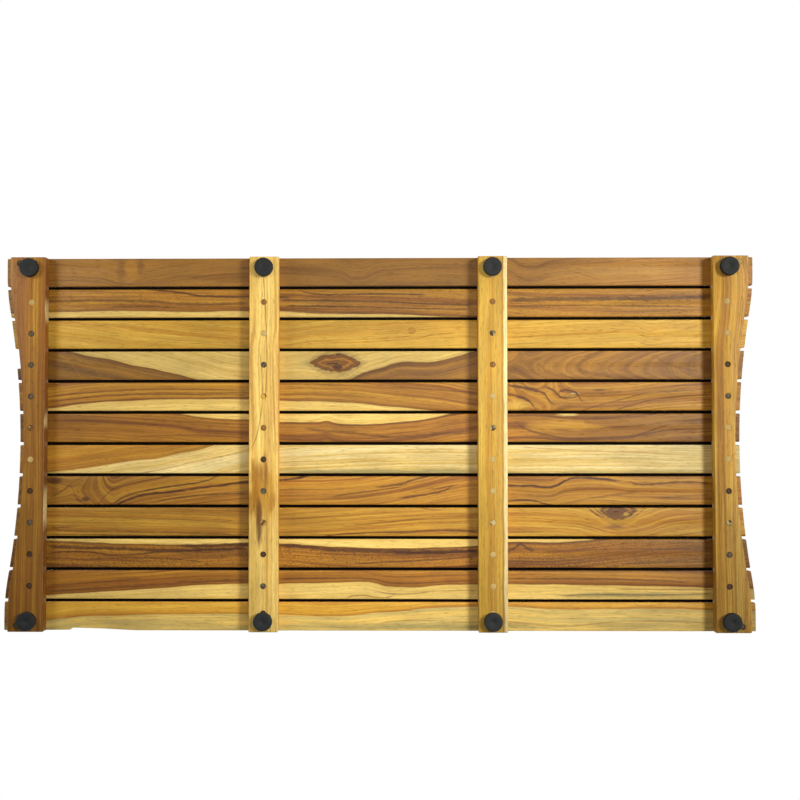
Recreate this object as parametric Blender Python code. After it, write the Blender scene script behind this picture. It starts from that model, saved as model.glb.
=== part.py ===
"""Slatted teak bath mat: twelve slats screwed from below to four battens, on eight rubber feet.

Metres, +Z up. The slats run along X and the battens along Y. The origin is at the middle of the
mat, on the surface that the feet stand on.
"""
import math

import bmesh
import bpy

# Clearances
FACE_GAP = 0.0003  # between two faces that rest on each other
FIT_GAP = 0.0003  # all round a stem, a shank or a tip in its hole

# Deck
SLAT_COUNT = 12
SLAT_WIDTH = 0.038
SLAT_THICKNESS = 0.012
SLAT_GAP = 0.004  # water drains through here
SLAT_EASING = 0.0012
MAT_LENGTH = 1.005

# Curved ends: a long hollow, a short reverse curve, and a square corner
WAIST_INSET = 0.0195  # depth of the hollow at mid-width
REVERSE_RUN = 0.050
CORNER_FLAT = 0.020
SLAT_END_STEPS = 4

# Battens
BATTEN_THICKNESS = 0.016
BATTEN_EASING = 0.0010
MIDDLE_BATTEN_WIDTH = 0.039
MIDDLE_BATTEN_SPACING = 0.305  # from centre to centre
END_BATTEN_WIDTH = 0.0475  # at its corners
END_BATTEN_INSET = 0.0095  # its outer edge follows the curved end at this distance
END_BATTEN_STEPS = 24

# Feet: a disc with a stem that is pressed into the batten
FOOT_DIAMETER = 0.025
FOOT_HEIGHT = 0.008
FOOT_CHAMFER = 0.0009
FOOT_SIDES = 20
STEM_DIAMETER = 0.007
STEM_LENGTH = 0.009
STEM_TAPER = 0.0008
FOOT_FROM_END = 0.0147  # from the batten's end to the foot's centre
END_FOOT_FROM_INNER_EDGE = 0.021

# Screws: one at each crossing, sunk in the batten and biting into the slat
SHANK_DIAMETER = 0.0038
HEAD_DIAMETER = 0.0072
HEAD_HEIGHT = 0.0024
HEAD_CLEARANCE = 0.0004  # all round the head, in a counterbore that also takes the wooden plug
DRIVE_DIAMETER = 0.0026
DRIVE_DEPTH = 0.0012
POINT_LENGTH = 0.0025
SCREW_SIDES = 10
HOLE_SIDES = 12
SHOULDER = 0.0075  # wood left under the head
SLAT_COVER = 0.0035  # wood left over the point
END_SCREWS_FROM_INNER_EDGE = 0.0185
EDGE_SCREW_INBOARD = 0.0103  # on the middle battens, from a foot's centre towards mid-width
CORNER_SCREW_OUT = 0.014  # on the end battens, from a foot's centre towards the curved end
CORNER_SCREW_ASIDE = 0.0065  # and towards the batten's end

# Sizes that follow
DECK_WIDTH = SLAT_COUNT * SLAT_WIDTH + (SLAT_COUNT - 1) * SLAT_GAP
SLAT_PITCH = SLAT_WIDTH + SLAT_GAP
BATTEN_BOTTOM = FOOT_HEIGHT + FACE_GAP
BATTEN_TOP = BATTEN_BOTTOM + BATTEN_THICKNESS
SLAT_BOTTOM = BATTEN_TOP + FACE_GAP
SHOULDER_HEIGHT = BATTEN_TOP - SHOULDER
PILOT_END = SLAT_BOTTOM + SLAT_THICKNESS - SLAT_COVER
END_BATTEN_INNER_EDGE = MAT_LENGTH / 2 - END_BATTEN_INSET - END_BATTEN_WIDTH
FOOT_Y = DECK_WIDTH / 2 - FOOT_FROM_END

BATTENS = ("left_end", "left_middle", "right_middle", "right_end")
END_SIDE = {"left_end": -1, "right_end": 1}
MIDDLE_SIDE = {"left_middle": -0.5, "right_middle": 0.5}
FOOT_SIDE = {"front": -1, "rear": 1}
# Every slat has one crossing without a modelled screw, on each batten in turn; its hole is there
SCREWS_LEFT_OUT_EVERY = len(BATTENS)

CUTTER_OVERRUN = 0.004  # how far a hole's cutter starts below the battens
MERGE_DISTANCE = 0.00001
TURNED_SHARP_ANGLE = 30  # degrees; a turned piece is smooth where its profile turns less
EASED_ANGLE = 60  # degrees; a board's edges that are sharper are eased

SLAT_COLOURS = ("9a6a3c", "8f5a2a", "b98a45", "9c6a34", "b3823e", "8a5a2c",
                "d0ab62", "96652f", "a8773a", "94602c", "9d6f35", "c9a661")
BATTEN_COLOURS = {"left_end": "a5702f", "left_middle": "cda765",
                  "right_middle": "c08c3d", "right_end": "c29a4e"}
RUBBER_COLOUR = "2a2e34"
STEEL_COLOUR = "8d8f92"
TEAK_ROUGHNESS = 0.55
RUBBER_ROUGHNESS = 0.75
STEEL_ROUGHNESS = 0.35


def clear_the_scene():
    for thing in list(bpy.data.objects):
        bpy.data.objects.remove(thing, do_unlink=True)


def linear_colour(hex_code):
    """sRGB hex to the linear values that a shader takes."""
    levels = [int(hex_code[i:i + 2], 16) / 255 for i in (0, 2, 4)]
    return [v / 12.92 if v <= 0.04045 else ((v + 0.055) / 1.055) ** 2.4 for v in levels] + [1.0]


def finish(thing, hex_code, roughness, metallic=0.0):
    """Give an object a material of its own."""
    material = bpy.data.materials.new(thing.name + "_finish")
    material.use_nodes = True
    shader = material.node_tree.nodes["Principled BSDF"]
    shader.inputs["Base Color"].default_value = linear_colour(hex_code)
    shader.inputs["Roughness"].default_value = roughness
    shader.inputs["Metallic"].default_value = metallic
    thing.material_slots[0].link = "OBJECT"
    thing.material_slots[0].material = material


def place(name, mesh, location=(0.0, 0.0, 0.0)):
    """Link an object for a mesh, with one slot ready for its own material."""
    if not mesh.materials:
        mesh.materials.append(None)
    thing = bpy.data.objects.new(name, mesh)
    thing.location = location
    thing.parent = mat
    bpy.context.scene.collection.objects.link(thing)
    return thing


def mesh_from(bm, name):
    """Turn all faces outward and hand the shape over as a mesh."""
    bmesh.ops.recalc_face_normals(bm, faces=bm.faces)
    mesh = bpy.data.meshes.new(name)
    bm.to_mesh(mesh)
    bm.free()
    return mesh


def board_mesh(name, outline, thickness):
    """A flat board: an outline of (x, y) points, pulled up from Z = 0."""
    bm = bmesh.new()
    base = bm.faces.new([bm.verts.new((x, y, 0.0)) for x, y in outline])
    pulled = bmesh.ops.extrude_face_region(bm, geom=[base])
    top = [item for item in pulled["geom"] if isinstance(item, bmesh.types.BMVert)]
    bmesh.ops.translate(bm, verts=top, vec=(0.0, 0.0, thickness))
    return mesh_from(bm, name)


def add_turned(bm, profile, centre, sides):
    """Spin a profile of (radius, height) points round the upright axis through centre."""
    x, y = centre
    verts = [bm.verts.new((x + radius, y, height)) for radius, height in profile]
    edges = [bm.edges.new(pair) for pair in zip(verts, verts[1:])]
    bmesh.ops.spin(bm, geom=verts + edges, cent=(x, y, 0.0), axis=(0.0, 0.0, 1.0),
                   dvec=(0.0, 0.0, 0.0), angle=2 * math.pi, steps=sides, use_merge=True)
    bmesh.ops.remove_doubles(bm, verts=bm.verts, dist=MERGE_DISTANCE)


def turned_mesh(name, profile, sides):
    """A turned piece, shaded smooth except where its profile turns sharply."""
    bm = bmesh.new()
    add_turned(bm, profile, (0.0, 0.0), sides)
    mesh = mesh_from(bm, name)
    mesh.shade_smooth()
    mesh.set_sharp_from_angle(angle=math.radians(TURNED_SHARP_ANGLE))
    return mesh


def hole_radius(radius):
    """Radius of a faceted hole whose flats stay clear of a round piece."""
    return (radius + FIT_GAP) / math.cos(math.pi / HOLE_SIDES)


def ease_edges(thing, width):
    """Take the sharpness off a board's edges."""
    bevel = thing.modifiers.new("eased_edges", "BEVEL")
    bevel.width = width
    bevel.segments = 1
    bevel.limit_method = "ANGLE"
    bevel.angle_limit = math.radians(EASED_ANGLE)


def cut(thing, cutter):
    holes = thing.modifiers.new(cutter.name, "BOOLEAN")
    holes.operation = "DIFFERENCE"
    holes.solver = "EXACT"
    holes.object = cutter


def curved_end(y):
    """X of the deck's curved end at a distance y from mid-width: two arcs that meet smoothly."""
    corner_start = DECK_WIDTH / 2 - CORNER_FLAT
    turn = corner_start - REVERSE_RUN
    slope = 2 * WAIST_INSET / corner_start
    distance = abs(y)
    if distance <= turn:
        inset = WAIST_INSET - slope * distance ** 2 / (2 * turn)
    else:
        inset = slope * max(corner_start - distance, 0.0) ** 2 / (2 * REVERSE_RUN)
    return MAT_LENGTH / 2 - inset


def slat_y(number):
    """Y of a slat's centre line; slat 1 is at the front."""
    return (number - 1) * SLAT_PITCH - (DECK_WIDTH - SLAT_WIDTH) / 2


def foot_x(batten):
    if batten in END_SIDE:
        return END_SIDE[batten] * (END_BATTEN_INNER_EDGE + END_FOOT_FROM_INNER_EDGE)
    return MIDDLE_SIDE[batten] * MIDDLE_BATTEN_SPACING


def screw_place(number, batten):
    """Where the screw of a slat goes in a batten; the outermost ones stand clear of the feet."""
    outermost = number in (1, SLAT_COUNT)
    side = math.copysign(1.0, slat_y(number))
    if batten in END_SIDE:
        if outermost:
            x = foot_x(batten) + END_SIDE[batten] * CORNER_SCREW_OUT
            return x, side * (FOOT_Y + CORNER_SCREW_ASIDE)
        x = END_SIDE[batten] * (END_BATTEN_INNER_EDGE + END_SCREWS_FROM_INNER_EDGE)
        return x, slat_y(number)
    if outermost:
        return foot_x(batten), side * (FOOT_Y - EDGE_SCREW_INBOARD)
    return foot_x(batten), slat_y(number)


def all_screw_places():
    return [screw_place(number, batten)
            for number in range(1, SLAT_COUNT + 1) for batten in BATTENS]


def make_cutter(name, holes, sides):
    """One cutter for all holes of a kind: a list of profiles with their centres."""
    bm = bmesh.new()
    for profile, centre in holes:
        add_turned(bm, profile, centre, sides)
    cutter = place(name, mesh_from(bm, name))
    cutter.hide_render = True
    cutter.display_type = "WIRE"
    return cutter


def screw_hole_cutter():
    """Stepped holes: a counterbore, a shank hole, and a blind pilot hole in the slat."""
    counterbore = (HEAD_DIAMETER / 2 + HEAD_CLEARANCE) / math.cos(math.pi / HOLE_SIDES)
    shank = hole_radius(SHANK_DIAMETER / 2)
    below = BATTEN_BOTTOM - CUTTER_OVERRUN
    profile = ((0.0, below), (counterbore, below), (counterbore, SHOULDER_HEIGHT),
               (shank, SHOULDER_HEIGHT), (shank, PILOT_END), (0.0, PILOT_END))
    return make_cutter("screw_holes", [(profile, spot) for spot in all_screw_places()], HOLE_SIDES)


def stem_hole_cutter():
    """Blind holes in the battens for the stems of the feet."""
    radius = hole_radius(STEM_DIAMETER / 2)
    below = BATTEN_BOTTOM - CUTTER_OVERRUN
    end = FOOT_HEIGHT + STEM_LENGTH + FIT_GAP
    profile = ((0.0, below), (radius, below), (radius, end), (0.0, end))
    spots = [(foot_x(batten), side * FOOT_Y) for batten in BATTENS for side in FOOT_SIDE.values()]
    return make_cutter("stem_holes", [(profile, spot) for spot in spots], HOLE_SIDES)


def make_slat(number, screw_holes):
    """A deck board whose two ends follow the mat's curve."""
    centre = slat_y(number)
    steps = [SLAT_WIDTH * (i / SLAT_END_STEPS - 0.5) for i in range(SLAT_END_STEPS + 1)]
    right = [(curved_end(centre + step), step) for step in steps]
    left = [(-x, step) for x, step in reversed(right)]
    name = f"slat_{number:02d}"
    mesh = board_mesh(name, right + left, SLAT_THICKNESS)
    slat = place(name, mesh, (0.0, centre, SLAT_BOTTOM))
    ease_edges(slat, SLAT_EASING)
    cut(slat, screw_holes)
    finish(slat, SLAT_COLOURS[(number - 1) % len(SLAT_COLOURS)], TEAK_ROUGHNESS)


def middle_batten_outline():
    half_width = MIDDLE_BATTEN_WIDTH / 2
    half_length = DECK_WIDTH / 2
    return [(-half_width, -half_length), (half_width, -half_length),
            (half_width, half_length), (-half_width, half_length)]


def end_batten_outline(side):
    """Straight inner edge; the outer edge follows the deck's curved end."""
    steps = [DECK_WIDTH * (i / END_BATTEN_STEPS - 0.5) for i in range(END_BATTEN_STEPS + 1)]
    outline = [(END_BATTEN_INNER_EDGE, DECK_WIDTH / 2), (END_BATTEN_INNER_EDGE, -DECK_WIDTH / 2)]
    outline += [(curved_end(y) - END_BATTEN_INSET, y) for y in steps]
    return [(side * x, y) for x, y in outline]


def make_batten(batten, cutters):
    name = f"batten_{batten}"
    if batten in END_SIDE:
        outline = end_batten_outline(END_SIDE[batten])
        x = 0.0
    else:
        outline = middle_batten_outline()
        x = foot_x(batten)
    piece = place(name, board_mesh(name, outline, BATTEN_THICKNESS), (x, 0.0, BATTEN_BOTTOM))
    ease_edges(piece, BATTEN_EASING)
    for cutter in cutters:
        cut(piece, cutter)
    finish(piece, BATTEN_COLOURS[batten], TEAK_ROUGHNESS)


def foot_mesh():
    radius = FOOT_DIAMETER / 2
    stem = STEM_DIAMETER / 2
    stem_end = FOOT_HEIGHT + STEM_LENGTH
    profile = ((0.0, 0.0), (radius - FOOT_CHAMFER, 0.0), (radius, FOOT_CHAMFER),
               (radius, FOOT_HEIGHT), (stem, FOOT_HEIGHT), (stem, stem_end - STEM_TAPER),
               (stem - STEM_TAPER, stem_end), (0.0, stem_end))
    return turned_mesh("foot", profile, FOOT_SIDES)


def screw_mesh():
    """A screw that points up; its thread is left plain."""
    head = HEAD_DIAMETER / 2
    shank = SHANK_DIAMETER / 2
    drive = DRIVE_DIAMETER / 2
    seat = SHOULDER_HEIGHT - FACE_GAP
    bottom = seat - HEAD_HEIGHT
    point = PILOT_END - FIT_GAP
    profile = ((0.0, bottom + DRIVE_DEPTH), (drive, bottom + DRIVE_DEPTH), (drive, bottom),
               (head, bottom), (head, seat), (shank, seat), (shank, point - POINT_LENGTH),
               (0.0, point))
    return turned_mesh("screw", profile, SCREW_SIDES)


def make_feet():
    mesh = foot_mesh()
    for batten in BATTENS:
        for side_name, side in FOOT_SIDE.items():
            location = (foot_x(batten), side * FOOT_Y, 0.0)
            foot = place(f"foot_{batten}_{side_name}", mesh, location)
            finish(foot, RUBBER_COLOUR, RUBBER_ROUGHNESS)


def make_screws():
    mesh = screw_mesh()
    for number in range(1, SLAT_COUNT + 1):
        for order, batten in enumerate(BATTENS, 1):
            if (number + order) % SCREWS_LEFT_OUT_EVERY == 0:
                continue
            x, y = screw_place(number, batten)
            screw = place(f"screw_slat_{number:02d}_{batten}", mesh, (x, y, 0.0))
            finish(screw, STEEL_COLOUR, STEEL_ROUGHNESS, metallic=1.0)


clear_the_scene()
mat = bpy.data.objects.new("bath_mat", None)
bpy.context.scene.collection.objects.link(mat)
screw_hole_tool = screw_hole_cutter()
stem_hole_tool = stem_hole_cutter()
for slat_number in range(1, SLAT_COUNT + 1):
    make_slat(slat_number, screw_hole_tool)
for batten_name in BATTENS:
    make_batten(batten_name, (screw_hole_tool, stem_hole_tool))
make_feet()
make_screws()
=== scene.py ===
import math

import bmesh
import bpy
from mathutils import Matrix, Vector


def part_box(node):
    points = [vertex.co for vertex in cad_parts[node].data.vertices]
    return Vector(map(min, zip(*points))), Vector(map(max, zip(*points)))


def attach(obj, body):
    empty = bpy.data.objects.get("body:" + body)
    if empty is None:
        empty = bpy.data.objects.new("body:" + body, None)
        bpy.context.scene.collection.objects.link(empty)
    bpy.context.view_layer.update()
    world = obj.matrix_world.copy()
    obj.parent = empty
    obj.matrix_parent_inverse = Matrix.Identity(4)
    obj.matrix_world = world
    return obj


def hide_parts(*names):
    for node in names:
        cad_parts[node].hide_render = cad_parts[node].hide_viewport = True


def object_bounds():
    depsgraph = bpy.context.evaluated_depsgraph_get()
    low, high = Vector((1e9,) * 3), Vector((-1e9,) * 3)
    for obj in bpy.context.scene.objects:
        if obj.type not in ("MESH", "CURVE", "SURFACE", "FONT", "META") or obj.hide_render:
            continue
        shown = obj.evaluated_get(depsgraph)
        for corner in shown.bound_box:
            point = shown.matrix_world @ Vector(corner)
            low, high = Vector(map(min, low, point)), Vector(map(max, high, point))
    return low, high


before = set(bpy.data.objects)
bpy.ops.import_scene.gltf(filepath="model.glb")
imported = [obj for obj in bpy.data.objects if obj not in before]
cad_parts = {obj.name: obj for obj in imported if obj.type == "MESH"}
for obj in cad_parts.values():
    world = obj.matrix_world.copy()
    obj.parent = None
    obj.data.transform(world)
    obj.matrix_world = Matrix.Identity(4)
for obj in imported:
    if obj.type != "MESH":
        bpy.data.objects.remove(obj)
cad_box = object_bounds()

# The looks of a slatted teak bath mat: boards with eased edges and solid grain, wooden plugs over
# the screws, and moulded rubber feet. Metres, unless a name ends in mm.

MM = 0.001
SAME_PLACE = 0.01 * MM

# Deck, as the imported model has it
SLATS = [f"slat_{number:02d}" for number in range(1, 13)]
BATTENS = ("left_end", "left_middle", "right_middle", "right_end")
MIRRORED = dict(zip(BATTENS, reversed(BATTENS)))
END_SIDE = {"left_end": -1, "right_end": 1}
HALF_LENGTH = cad_box[1][0]
HALF_WIDTH = cad_box[1][1]
BATTEN_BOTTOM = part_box("batten_left_end")[0].z
WAIST_INSET = 19.5 * MM
REVERSE_RUN = 50 * MM
CORNER_FLAT = 20 * MM
END_BATTEN_INSET = 9.5 * MM
EASING = 1.3 * MM
SLAT_COLUMNS = 8
END_BATTEN_COLUMNS = 40

# Wear of two slats: a corner split off, and a sliver gone as (x in mm, depth in mm)
SPLIT_WIDTH = 23 * MM
SPLIT_SLOPE = 0.8 * MM  # how much of the width the split's end wall takes
SPLIT_LENGTH = 0.86 * END_BATTEN_INSET
SLIVER_MM = ((-437, 0.3), (-414, 0.6), (-410, 3.4), (-372, 2.4), (-325, 0))

# Fixings
FACE_GAP = 0.3 * MM
HOLE_RADIUS = 4.05 * MM
SHANK_HOLE_RADIUS = 2.3 * MM
STEM_HOLE_RADIUS = 3.8 * MM
ROUND_SIDES = 32
CUTTER_START = BATTEN_BOTTOM - 2 * MM  # a cutter starts clear of the batten's face
HEAD_HEIGHT = 2.4 * MM
PLUG_RADIUS = 3.92 * MM
PLUG_LENGTH = 5.6 * MM
PLUG_EASING = 0.25 * MM

# Feet
FEET = [f"foot_{batten}_{end}" for batten in BATTENS for end in ("front", "rear")]
FOOT_RADIUS = 12.5 * MM
FOOT_HEIGHT = 8 * MM
FOOT_EASING = 0.9 * MM
FOOT_SIDES = 64
FACE_TAPER = 0.975
STEM_RADIUS = 3.5 * MM
GATE_INSET = 10.3 * MM  # from the rim of the face to the gate mark
GATE_WALL = 0.4 * MM
GATE_DEPTH = 0.25 * MM


# ---------------------------------------------------------------- modelling

def deselect_everything():
    bpy.ops.object.select_all(action="DESELECT")


def work_on(*pieces):
    """Select just these pieces, with the first one active."""
    deselect_everything()
    for piece in pieces:
        piece.select_set(True)
    bpy.context.view_layer.objects.active = pieces[0]


def place_applied(piece):
    """Leave the piece's place in its mesh and its object at the origin."""
    bpy.ops.object.transform_apply(location=True, rotation=True, scale=True)
    return piece


def newly_added(name):
    """The primitive that was just added, named, with its place in its mesh."""
    piece = bpy.context.active_object
    piece.name = name
    return place_applied(piece)


def add_block(name, low, high):
    """A block between two corners."""
    deselect_everything()
    low, high = Vector(low), Vector(high)
    bpy.ops.mesh.primitive_cube_add(size=1, location=(low + high) / 2, scale=high - low)
    return newly_added(name)


def add_round(name, centre, radius, depth, sides=ROUND_SIDES):
    """A round bar whose lower face is at centre."""
    deselect_everything()
    middle = Vector(centre) + Vector((0, 0, depth / 2))
    bpy.ops.mesh.primitive_cylinder_add(vertices=sides, radius=radius, depth=depth, location=middle)
    return newly_added(name)


def pick(piece, kind, wanted):
    """In edit mode, select just the vertices (VERT) or the faces (FACE) that pass the test."""
    bpy.ops.mesh.select_all(action="DESELECT")
    bpy.ops.mesh.select_mode(type=kind)
    shape = bmesh.from_edit_mesh(piece.data)
    for element in shape.verts if kind == "VERT" else shape.faces:
        element.select = wanted(element)
    shape.select_flush_mode()
    bmesh.update_edit_mesh(piece.data)


def shift_verts(piece, shift, wanted):
    """In edit mode, shift the vertices whose place passes the test."""
    pick(piece, "VERT", lambda vert: wanted(vert.co))
    bpy.ops.transform.translate(value=shift)


def extrude_up(height):
    """In edit mode, draw the selected faces out along Z."""
    bpy.ops.mesh.extrude_region_move(TRANSFORM_OT_translate={"value": (0, 0, height)})


def slice_board(places, normal):
    """In edit mode, cut right through the board at each place along the normal."""
    for place in places:
        bpy.ops.mesh.select_all(action="SELECT")
        bpy.ops.mesh.bisect(plane_co=Vector(normal) * place, plane_no=normal)


def near(a, b):
    return abs(a - b) < SAME_PLACE


def apply_modifier(piece, modifier):
    work_on(piece)
    bpy.ops.object.modifier_apply(modifier=modifier.name)


def ease(piece, width, segments=3):
    """Round the sharp edges over, as a router and sandpaper do."""
    bevel = piece.modifiers.new("eased", "BEVEL")
    bevel.width = width
    bevel.segments = segments
    bevel.limit_method = "ANGLE"
    bevel.angle_limit = math.radians(50)
    apply_modifier(piece, bevel)


def drill(piece, tool):
    """Cut the tool's shape out of the piece."""
    holes = piece.modifiers.new("holes", "BOOLEAN")
    holes.operation = "DIFFERENCE"
    holes.solver = "EXACT"
    holes.object = tool
    apply_modifier(piece, holes)


def shade(piece):
    """Smooth shading, with flat faces kept flat."""
    work_on(piece)
    bpy.ops.object.shade_smooth_by_angle(angle=math.radians(35))


def copy_to(piece, name, shift):
    """A copy with its own mesh, moved there in the mesh."""
    copy = piece.copy()
    copy.data = piece.data.copy()
    copy.name = name
    bpy.context.scene.collection.objects.link(copy)
    work_on(copy)
    bpy.ops.transform.translate(value=shift)
    return place_applied(copy)


def join(pieces, name):
    work_on(*pieces)
    bpy.ops.object.join()
    pieces[0].name = name
    return pieces[0]


def curved_end(y):
    """X of the deck's curved end: a long hollow that meets a short reverse curve."""
    corner_start = HALF_WIDTH - CORNER_FLAT
    turn = corner_start - REVERSE_RUN
    slope = 2 * WAIST_INSET / corner_start
    distance = abs(y)
    if distance <= turn:
        return HALF_LENGTH - WAIST_INSET + slope * distance ** 2 / (2 * turn)
    return HALF_LENGTH - slope * max(corner_start - distance, 0) ** 2 / (2 * REVERSE_RUN)


def screw_spot(slat, batten):
    """Foot of a packed screw's axis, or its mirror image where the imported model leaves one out."""
    side = 1
    if f"screw_{slat}_{batten}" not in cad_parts:
        batten = MIRRORED[batten]
        side = -1
    low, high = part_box(f"screw_{slat}_{batten}")
    return Vector((side * (low.x + high.x) / 2, (low.y + high.y) / 2, low.z))


SCREW_LOW, SCREW_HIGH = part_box("screw_slat_06_left_end")
HEAD_SEAT = SCREW_LOW.z + HEAD_HEIGHT + FACE_GAP
PILOT_END = SCREW_HIGH.z + FACE_GAP
SPOTS = {(slat, batten): screw_spot(slat, batten) for slat in SLATS for batten in BATTENS}


def screw_hole_tool():
    """Stepped hole cutters for all crossings: a counterbore, then a narrower hole for the shank."""
    step = add_round("step", (0, 0, CUTTER_START), HOLE_RADIUS, HEAD_SEAT - CUTTER_START)
    bpy.ops.object.mode_set(mode="EDIT")
    pick(step, "FACE", lambda face: face.normal.z > 0.9)
    bpy.ops.mesh.inset(thickness=HOLE_RADIUS - SHANK_HOLE_RADIUS)
    extrude_up(PILOT_END - HEAD_SEAT)
    bpy.ops.object.mode_set(mode="OBJECT")
    cutters = [copy_to(step, "cutter", (spot.x, spot.y, 0)) for spot in SPOTS.values()]
    bpy.data.objects.remove(step)
    return join(cutters, "screw_hole_tool")


def stem_hole_tool():
    """Blind hole cutters for the stems of the feet."""
    cutters = []
    for foot in FEET:
        low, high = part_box(foot)
        centre = (low + high) / 2
        depth = high.z + FACE_GAP - CUTTER_START
        cutters.append(add_round("cutter", (centre.x, centre.y, CUTTER_START), STEM_HOLE_RADIUS, depth))
    return join(cutters, "stem_hole_tool")


def finish_board(piece, tools):
    """Ease the board's edges and drill its holes."""
    ease(piece, EASING)
    for tool in tools:
        drill(piece, tool)
    shade(piece)
    return piece


def lines_across(low, high, columns):
    """Y of the lines that part a board into columns of the same width."""
    return [low.y + (high.y - low.y) * i / columns for i in range(columns + 1)]


def make_slat(name, tools):
    """A deck board with its ends cut to the mat's curve, and its edges eased."""
    low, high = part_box(name)
    lines = lines_across(low, high, SLAT_COLUMNS)
    piece = add_block(name + "_board", (-HALF_LENGTH, low.y, low.z), (HALF_LENGTH, high.y, high.z))
    bpy.ops.object.mode_set(mode="EDIT")
    slice_board(lines[1:-1], (0, 1, 0))
    for y in lines:
        for side in (-1, 1):
            shift = side * (curved_end(y) - HALF_LENGTH)
            shift_verts(piece, (shift, 0, 0), lambda place: near(place.y, y) and place.x * side > 0)
    if name == "slat_04":
        split_corner(piece, low.y + SPLIT_WIDTH)
    if name == "slat_12":
        splinter_edge(piece, high.y)
    bpy.ops.object.mode_set(mode="OBJECT")
    return finish_board(piece, tools)


def split_corner(piece, split):
    """The board's left end has lost a corner, split off along the grain."""
    slice_board([split, split - SPLIT_SLOPE], (0, 1, 0))
    front = split - SPLIT_SLOPE / 2
    shift_verts(piece, (SPLIT_LENGTH, 0, 0), lambda place: place.x < 0 and place.y < front)


def splinter_edge(piece, edge):
    """A sliver has gone from the outer edge near the left end."""
    slice_board([x * MM for x, depth in SLIVER_MM], (1, 0, 0))
    for x, depth in SLIVER_MM:
        shift_verts(piece, (0, -depth * MM, 0),
                    lambda place: near(place.x, x * MM) and near(place.y, edge))


def make_batten(batten, tools):
    """A cross board; the end ones have an outer edge that follows the deck's curve."""
    low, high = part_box(f"batten_{batten}")
    piece = add_block(f"batten_{batten}_board", low, high)
    if batten in END_SIDE:
        side = END_SIDE[batten]
        outer = high.x if side > 0 else low.x
        lines = lines_across(low, high, END_BATTEN_COLUMNS)
        bpy.ops.object.mode_set(mode="EDIT")
        slice_board(lines[1:-1], (0, 1, 0))
        for y in lines:
            shift = side * (curved_end(y) - END_BATTEN_INSET) - outer
            shift_verts(piece, (shift, 0, 0), lambda place: near(place.y, y) and near(place.x, outer))
        bpy.ops.object.mode_set(mode="OBJECT")
    return finish_board(piece, tools)


def make_first_foot(centre, top):
    """A moulded disc with a rounded rim, a gate mark and a stem for the batten's hole."""
    foot = add_round("foot", (centre.x, centre.y, 0), FOOT_RADIUS, FOOT_HEIGHT, FOOT_SIDES)
    bpy.ops.object.mode_set(mode="EDIT")
    pick(foot, "FACE", lambda face: face.normal.z > 0.9)
    bpy.ops.mesh.inset(thickness=FOOT_RADIUS - STEM_RADIUS)
    extrude_up(top - FOOT_HEIGHT)
    pick(foot, "FACE", lambda face: face.normal.z < -0.9)
    bpy.ops.transform.resize(value=(FACE_TAPER, FACE_TAPER, 1),
                             center_override=(centre.x, centre.y, 0))
    bpy.ops.mesh.inset(thickness=GATE_INSET)
    bpy.ops.mesh.inset(thickness=GATE_WALL)
    bpy.ops.transform.translate(value=(0, 0, GATE_DEPTH))
    bpy.ops.object.mode_set(mode="OBJECT")
    ease(foot, FOOT_EASING, 4)
    shade(foot)
    return foot


def make_first_plug():
    """A short dowel with a pared face, at the origin with its face down."""
    plug = add_round("plug", (0, 0, 0), PLUG_RADIUS, PLUG_LENGTH)
    ease(plug, PLUG_EASING, 2)
    shade(plug)
    return plug


# ---------------------------------------------------------------- materials

SMOOTH = {"interpolation_type": "SMOOTHSTEP"}
COLOURS = {"data_type": "RGBA"}


def linear(hex_code):
    """sRGB hex to the linear colour that a shader takes."""
    levels = [int(hex_code[i:i + 2], 16) / 255 for i in (0, 2, 4)]
    return [v / 12.92 if v <= 0.04045 else ((v + 0.055) / 1.055) ** 2.4 for v in levels] + [1]


def result(value):
    """A node stands for the output that a later node takes from it."""
    if not isinstance(value, bpy.types.Node):
        return value
    is_colour_mix = value.bl_idname == "ShaderNodeMix" and value.data_type == "RGBA"
    return value.outputs[2 if is_colour_mix else 0]


def add(tree, kind, inputs, **settings):
    """Add a node with its settings, and give each input a value or a link."""
    node = tree.nodes.new("ShaderNode" + kind)
    for key, value in settings.items():
        setattr(node, key, value)
    for key, value in inputs.items():
        value = result(value)
        if isinstance(value, bpy.types.NodeSocket):
            tree.links.new(value, node.inputs[key])
        else:
            node.inputs[key].default_value = value
    return node


def new_material(name):
    material = bpy.data.materials.new(name)
    material.use_nodes = True
    return material, material.node_tree, material.node_tree.nodes["Principled BSDF"]


def object_in_mm(tree, **placing):
    """The object's own coordinates in mm, turned and shifted if asked for."""
    where = add(tree, "TexCoord", {}).outputs["Object"]
    return add(tree, "Mapping", {"Vector": where, "Scale": (1 / MM,) * 3, **placing})


def dress(tree, shader, colour, roughness):
    """Give the shader a colour and a roughness that change over the surface."""
    tree.links.new(result(colour), shader.inputs["Base Color"])
    tree.links.new(result(roughness), shader.inputs["Roughness"])


def emboss(tree, shader, height, strength, depth):
    """Give the surface a fine relief."""
    bump = add(tree, "Bump", {"Strength": strength, "Distance": depth, "Height": height})
    tree.links.new(result(bump), shader.inputs["Normal"])


CURVE_REACH_MM = 520  # a drawn line runs over plus and minus this along the board
CURVE_SWING_MM = 40  # and is held within plus and minus this across it


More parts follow.
